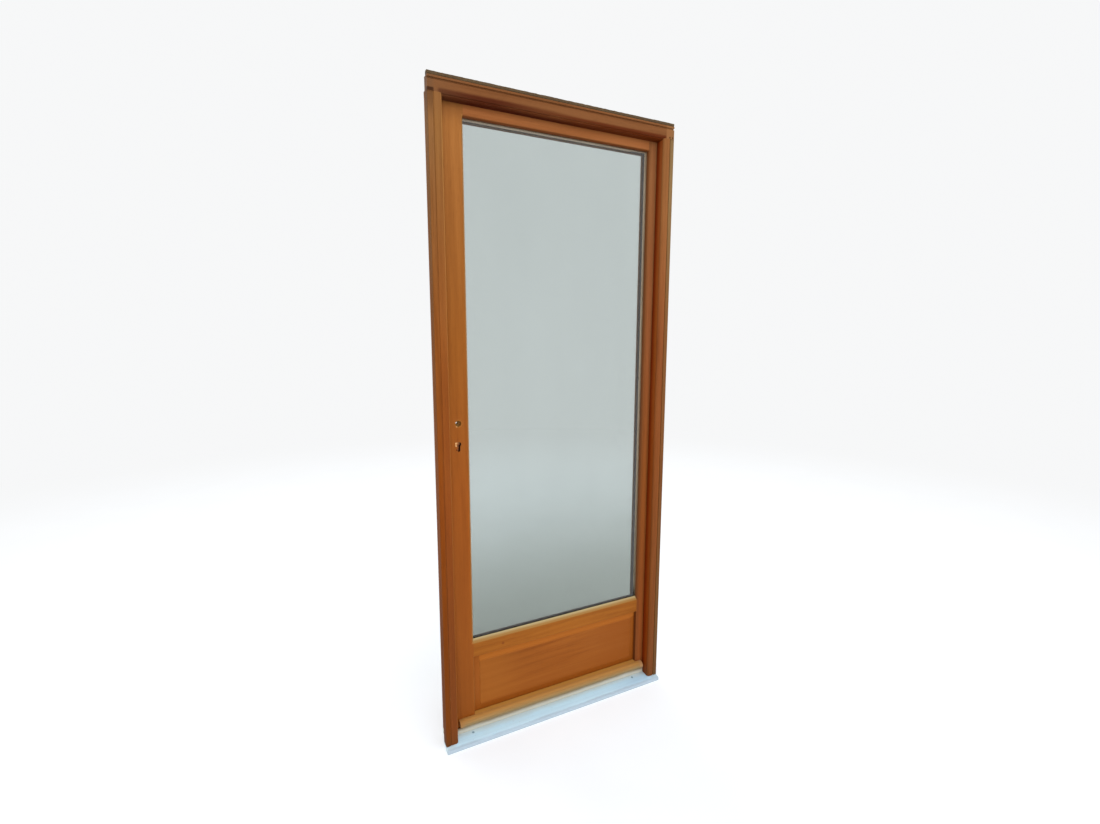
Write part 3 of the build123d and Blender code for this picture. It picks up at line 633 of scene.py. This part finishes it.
# lighter along the right side as painted light; darker at the foot, partly dust and partly painted shade
dress(
    "glazing_seal",
    rubber("glazing_seal_bead", (120, 92, 68), 56, dust=(150, 122, 94), spread=0.3, marks=[("X", 0.368, 0.372, (176, 146, 116), 0.8), ("Z", 0.37, 0.36, (84, 72, 54), 0.9)]),
)
dress("outer_pane", pane("outer_glass", (222, 227, 226), 57, 0.25, smear_x=-0.330))
dress("inner_pane", pane("inner_glass", (222, 227, 226), 58, 0.15))


# ------------------------------------------------------------- made pieces
def new_piece(name, verts, faces, mat, body, smooth=True):
    me = bpy.data.meshes.new(name)
    me.from_pydata([tuple(v) for v in verts], [], faces)
    bm = bmesh.new()
    bm.from_mesh(me)
    bmesh.ops.remove_doubles(bm, verts=bm.verts, dist=1e-7)
    bmesh.ops.recalc_face_normals(bm, faces=bm.faces)
    bm.to_mesh(me)
    bm.free()
    for p in me.polygons:
        p.use_smooth = smooth
    o = bpy.data.objects.new(name, me)
    scene.collection.objects.link(o)
    me.materials.append(mat)
    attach(o, body)
    return o


def screw_head(centre, normal, radius, height, sink, turn, verts, faces, sides=28):
    """Adds a domed countersunk head with a cross recess, standing height proud of the face."""
    n = Vector(normal).normalized()
    u = n.orthogonal().normalized()
    u.rotate(Matrix.Rotation(turn, 3, n))
    w = n.cross(u)
    c = Vector(centre)
    rings = [(1.0, -sink), (1.0, 0.0), (0.97, 0.35 * height), (0.86, 0.75 * height), (0.66, 0.95 * height), (0.5, height)]
    start = len(verts)
    for rr, h in rings:
        for i in range(sides):
            a = 2 * math.pi * i / sides
            verts.append(c + (u * math.cos(a) + w * math.sin(a)) * radius * rr + n * h)
    for k in range(len(rings) - 1):
        for i in range(sides):
            j = (i + 1) % sides
            faces.append((start + k * sides + i, start + k * sides + j, start + (k + 1) * sides + j, start + (k + 1) * sides + i))
    # the recess: inner ring, with the four arms pressed in
    base = start + (len(rings) - 1) * sides
    inner = len(verts)
    for i in range(sides):
        a = 2 * math.pi * i / sides
        arm = max(abs(math.cos(a)), abs(math.sin(a)))
        rr = 0.44 if arm > 0.97 else 0.16
        dep = height - 0.5 * radius * (0.55 if arm > 0.97 else 0.75)
        verts.append(c + (u * math.cos(a) + w * math.sin(a)) * radius * rr + n * dep)
    mid = len(verts)
    verts.append(c + n * (height - 0.5 * radius))
    for i in range(sides):
        j = (i + 1) % sides
        faces.append((base + i, base + j, inner + j, inner + i))
        faces.append((inner + i, inner + j, mid))
    # the underside
    low = len(verts)
    verts.append(c - n * sink)
    for i in range(sides):
        j = (i + 1) % sides
        faces.append((start + j, start + i, low))


rng = random.Random(7)
leaf_v, leaf_f, frame_v, frame_f = [], [], [], []
for lv in ("lower", "middle", "upper"):
    lo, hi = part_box("hinge_leaf_" + lv)
    for dz in (0.25, 0.75):
        screw_head((0.3925, 0.098, lo.z + (hi.z - lo.z) * dz), (0, 1, 0), 0.0034, 0.0009, 0.002, rng.uniform(0, 3), leaf_v, leaf_f)
    lo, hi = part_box("hinge_frame_" + lv)
    for dz in (7.0, 28.0):
        screw_head((0.4290, 0.098, lo.z + dz / 1000), (0, 1, 0), 0.0030, 0.0009, 0.002, rng.uniform(0, 3), frame_v, frame_f)
new_piece("hinge_plate_screws_leaf", leaf_v, leaf_f, screw_steel, "leaf")
new_piece("hinge_plate_screws_frame", frame_v, frame_f, screw_steel, "frame")
v, f = [], []
for z in (0.988, 1.197):
    screw_head((-0.4120, 0.070, z), (-1, 0, 0), 0.0036, 0.0006, 0.0015, rng.uniform(0, 3), v, f)
new_piece("faceplate_screws", v, f, screw_steel, "leaf")
v, f = [], []
for z in (1.033, 1.183):
    screw_head((-0.4200, 0.070, z), (1, 0, 0), 0.0036, 0.0006, 0.0015, rng.uniform(0, 3), v, f)
new_piece("strike_plate_screws", v, f, screw_steel, "frame")


def foam_strip():
    """The dark strip on the head: a soft section whose edges wander along its length."""
    lo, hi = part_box("head_seal_strip")
    steps, sides = 420, 14
    verts, faces = [], []
    cy, cz = (lo.y + hi.y) / 2, (lo.z + hi.z) / 2
    hy, hz = (hi.y - lo.y) / 2, (hi.z - lo.z) / 2
    for i in range(steps + 1):
        x = lo.x + (hi.x - lo.x) * i / steps
        for k in range(sides):
            a = 2 * math.pi * k / sides + 0.1
            c, s = math.cos(a), math.sin(a)
            py = math.copysign(abs(c) ** 0.45, c)
            pz = math.copysign(abs(s) ** 0.45, s)
            n = noise.noise(Vector((x * 60, k * 0.7, 3.1)))
            m = noise.noise(Vector((x * 260, k * 1.3, 7.7)))
            push = 0.93 + 0.05 * n + 0.035 * m
            y = cy + hy * py * min(1.0, push)
            z = cz + hz * pz * (min(1.0, 0.90 + 0.12 * n + 0.07 * m) if s > 0 else 1.0)
            verts.append((x, max(lo.y, min(hi.y, y)), max(lo.z, min(hi.z, z))))
    for i in range(steps):
        for k in range(sides):
            j = (k + 1) % sides
            faces.append((i * sides + k, i * sides + j, (i + 1) * sides + j, (i + 1) * sides + k))
    faces.append(tuple(range(sides)))
    faces.append(tuple(steps * sides + k for k in reversed(range(sides))))
    o = new_piece("head_foam_strip", verts, faces, rubber("dark_foam_strip", (84, 64, 40), 61, dust=(112, 92, 64)), "frame")
    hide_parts("head_seal_strip")


foam_strip()


# --------------------------------------------------------------------- stage
def floor_piece():
    me = bpy.data.meshes.new("floor")
    bm = bmesh.new()
    rings, sides = 26, 96
    rows = []
    for i in range(rings):
        r = 0.0 if i == 0 else 0.4 * 1.22 ** i
        if i == 0:
            rows.append([bm.verts.new((0, 0, -0.0006))] * sides)
        else:
            rows.append([bm.verts.new((r * math.cos(2 * math.pi * k / sides), r * math.sin(2 * math.pi * k / sides), -0.0006)) for k in range(sides)])
    for i in range(rings - 1):
        for k in range(sides):
            j = (k + 1) % sides
            if i == 0:
                bm.faces.new((rows[0][0], rows[1][k], rows[1][j]))
            else:
                bm.faces.new((rows[i][k], rows[i + 1][k], rows[i + 1][j], rows[i][j]))
    bm.to_mesh(me)
    bm.free()
    o = bpy.data.objects.new("floor", me)
    scene.collection.objects.link(o)
    t = Tree("pale_floor")
    soft = t.noise(t.mapping((1, 1, 1)), 3.0, 3.0, 0.5)
    far = t.math("SQRT", t.math("ADD", t.math("MULTIPLY", t.x, t.x), t.math("MULTIPLY", t.y, t.y)))
    away = t.remap(far, 0.9, 6.0)
    col = t.mix(t.remap(soft, 0.3, 0.7), lin(222, 222, 222), lin(226, 226, 226))
    t.put(t.bsdf.inputs["Base Color"], t.mix(away, col, (0.0, 0.0, 0.0, 1)))
    t.put(t.bsdf.inputs["Emission Color"], t.mix(away, (0.34, 0.34, 0.345, 1), (0.93, 0.935, 0.94, 1)))
    t.bsdf.inputs["Emission Strength"].default_value = 1.0
    t.put(t.bsdf.inputs["Roughness"], t.remap(soft, 0.3, 0.7, 0.85, 0.95))
    t.bsdf.inputs["Specular IOR Level"].default_value = 0.0
    me.materials.append(t.mat)
    o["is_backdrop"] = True


floor_piece()

world = bpy.data.worlds.new("studio")
scene.world = world
world.use_nodes = True
wn = world.node_tree
wn.nodes.clear()
w_out = wn.nodes.new("ShaderNodeOutputWorld")
w_seen = wn.nodes.new("ShaderNodeBackground")
w_seen.inputs[0].default_value = (0.93, 0.935, 0.94, 1)
w_seen.inputs[1].default_value = 1.0
w_light = wn.nodes.new("ShaderNodeBackground")
w_light.inputs[0].default_value = (0.95, 0.98, 1.0, 1)
w_light.inputs[1].default_value = 0.50
w_path = wn.nodes.new("ShaderNodeLightPath")
w_mix = wn.nodes.new("ShaderNodeMixShader")
seen = w_path.outputs["Is Camera Ray"]
for kind in ("Is Transmission Ray", "Is Glossy Ray"):
    w_max = wn.nodes.new("ShaderNodeMath")
    w_max.operation = "MAXIMUM"
    wn.links.new(seen, w_max.inputs[0])
    wn.links.new(w_path.outputs[kind], w_max.inputs[1])
    seen = w_max.outputs[0]
wn.links.new(seen, w_mix.inputs[0])
wn.links.new(w_light.outputs[0], w_mix.inputs[1])
wn.links.new(w_seen.outputs[0], w_mix.inputs[2])
wn.links.new(w_mix.outputs[0], w_out.inputs[0])


def lamp(name, towards, strength, angle, colour=(1, 1, 1)):
    """A wide soft lamp far away; towards is the direction from the window to the lamp."""
    d = bpy.data.lights.new(name, "SUN")
    d.energy = strength
    d.angle = math.radians(angle)
    d.color = colour
    o = bpy.data.objects.new(name, d)
    scene.collection.objects.link(o)
    o.rotation_mode = "QUATERNION"
    o.rotation_quaternion = (-Vector(towards)).to_track_quat("-Z", "Y")
    o.visible_camera = False
    o.visible_transmission = False
    o.visible_glossy = False
    return o


lamp("key", (-0.20, -1.0, 0.12), 1.15, 45, (1.0, 0.985, 0.96))
lamp("fill", (0.75, -1.0, 0.25), 0.45, 60, (1.0, 0.99, 0.98))
lamp("sky", (0.0, -0.40, 1.0), 1.35, 60, (0.88, 0.97, 1.06))
lamp("back", (-0.3, 1.0, 0.7), 0.60, 60)

cam_data = bpy.data.cameras.new("photo_camera")
cam = bpy.data.objects.new("photo_camera", cam_data)
scene.collection.objects.link(cam)
cam_data.sensor_fit = "HORIZONTAL"
cam_data.sensor_width = 36.0
cam_data.lens = 538.4 * 36.0 / 1100.0
cam_data.clip_start = 0.02
cam_data.clip_end = 400.0
right = Vector((0.8918, -0.4523, 0.0019)).normalized()
ahead = Vector((0.4476, 0.8819, -0.1481)).normalized()
up = right.cross(ahead).normalized()
right = ahead.cross(up)
m = Matrix((right, up, -ahead)).transposed().to_4x4()
m.translation = Vector((-0.888, -1.647, 1.439))
cam.matrix_world = m
scene.camera = cam

scene.view_settings.view_transform = "Standard"
scene.view_settings.look = "None"

lo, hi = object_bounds()
